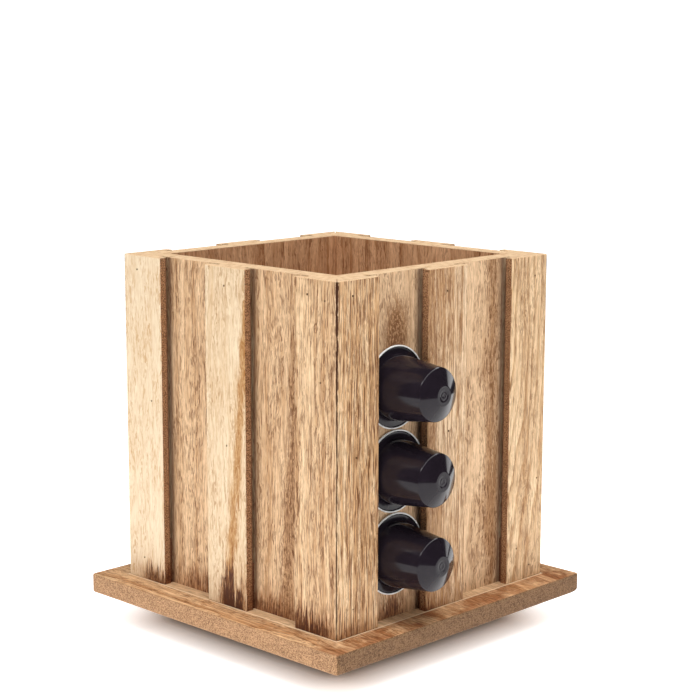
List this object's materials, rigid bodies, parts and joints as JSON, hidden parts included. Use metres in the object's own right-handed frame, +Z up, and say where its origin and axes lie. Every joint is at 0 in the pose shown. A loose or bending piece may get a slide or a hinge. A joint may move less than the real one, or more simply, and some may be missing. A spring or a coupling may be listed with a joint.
{
  "type": "rotating capsule dispenser",
  "caption": "Open square wooden box on a turning base plate; rebated slats on its walls form channels that hold coffee capsules by their rims, around a storage compartment.",
  "frame": {"origin": "on the turning axis, on the underside of the rubber pad, where the dispenser rests", "axes": "+Z up along the turning axis; -Y out of the front, the side with the loaded channel; +X to its right"},
  "size_m": [0.1674, 0.1775, 0.178],
  "materials": {
    "pad_rubber": "matte, slightly ribbed",
    "foot_wood": "sanded plywood, bare",
    "bearing_steel": "zinc plated sheet",
    "screw_steel": "yellow zinc plated",
    "ball_steel": "polished",
    "cage_plastic": "natural nylon",
    "plate_wood": "veneered fibreboard, lightly scorched",
    "wall_wood": "light wood, scorched and brushed",
    "slat_wood": "light wood, scorched and brushed",
    "brad_steel": "plain wire, set below the face",
    "capsule_lacquer": "gloss black lacquer, bare light rim",
    "capsule_foil": "lacquered foil"
  },
  "bodies": {
    "stand": {"rubber_pad": "pad_rubber", "foot_plate": "foot_wood", "bearing_lower_plate": "bearing_steel", "foot_screws": "screw_steel"},
    "ball_train": {"bearing_balls": "ball_steel", "ball_cage": "cage_plastic"},
    "carousel": {"bearing_upper_plate": "bearing_steel", "plate_screws": "screw_steel", "base_plate": "plate_wood", "wall_front": "wall_wood", "wall_right": "wall_wood", "wall_back": "wall_wood", "wall_left": "wall_wood", "slat_front_left": "slat_wood", "slat_front_middle": "slat_wood", "slat_front_right": "slat_wood", "slat_right_left": "slat_wood", "slat_right_middle": "slat_wood", "slat_right_right": "slat_wood", "slat_back_left": "slat_wood", "slat_back_middle": "slat_wood", "slat_back_right": "slat_wood", "slat_left_left": "slat_wood", "slat_left_middle": "slat_wood", "slat_left_right": "slat_wood", "box_screws": "screw_steel", "slat_brads": "brad_steel"},
    "capsule_low": {"capsule_low_shell": "capsule_lacquer", "capsule_low_lid": "capsule_foil"},
    "capsule_middle": {"capsule_middle_shell": "capsule_lacquer", "capsule_middle_lid": "capsule_foil"},
    "capsule_top": {"capsule_top_shell": "capsule_lacquer", "capsule_top_lid": "capsule_foil"}
  },
  "joints": [
    {"name": "turntable", "type": "hinge", "parent": "stand", "child": "carousel", "pos_m": [0, 0, 0.00925], "axis": [0, 0, 1], "continuous": true},
    {"name": "ball_train_spin", "type": "hinge", "parent": "stand", "child": "ball_train", "pos_m": [0, 0, 0.00925], "axis": [0, 0, 1], "continuous": true},
    {"name": "capsule_low_lift", "type": "slide", "parent": "carousel", "child": "capsule_low", "axis": [0, 0, 1], "range_m": [0, 0.044]},
    {"name": "capsule_middle_lift", "type": "slide", "parent": "capsule_low", "child": "capsule_middle", "axis": [0, 0, 1], "range_m": [0, 0.044]},
    {"name": "capsule_top_lift", "type": "slide", "parent": "capsule_middle", "child": "capsule_top", "axis": [0, 0, 1], "range_m": [0, 0.044]}
  ],
  "couplings": [
    {"joint": "ball_train_spin", "follows": "turntable", "ratio": 0.5}
  ]
}
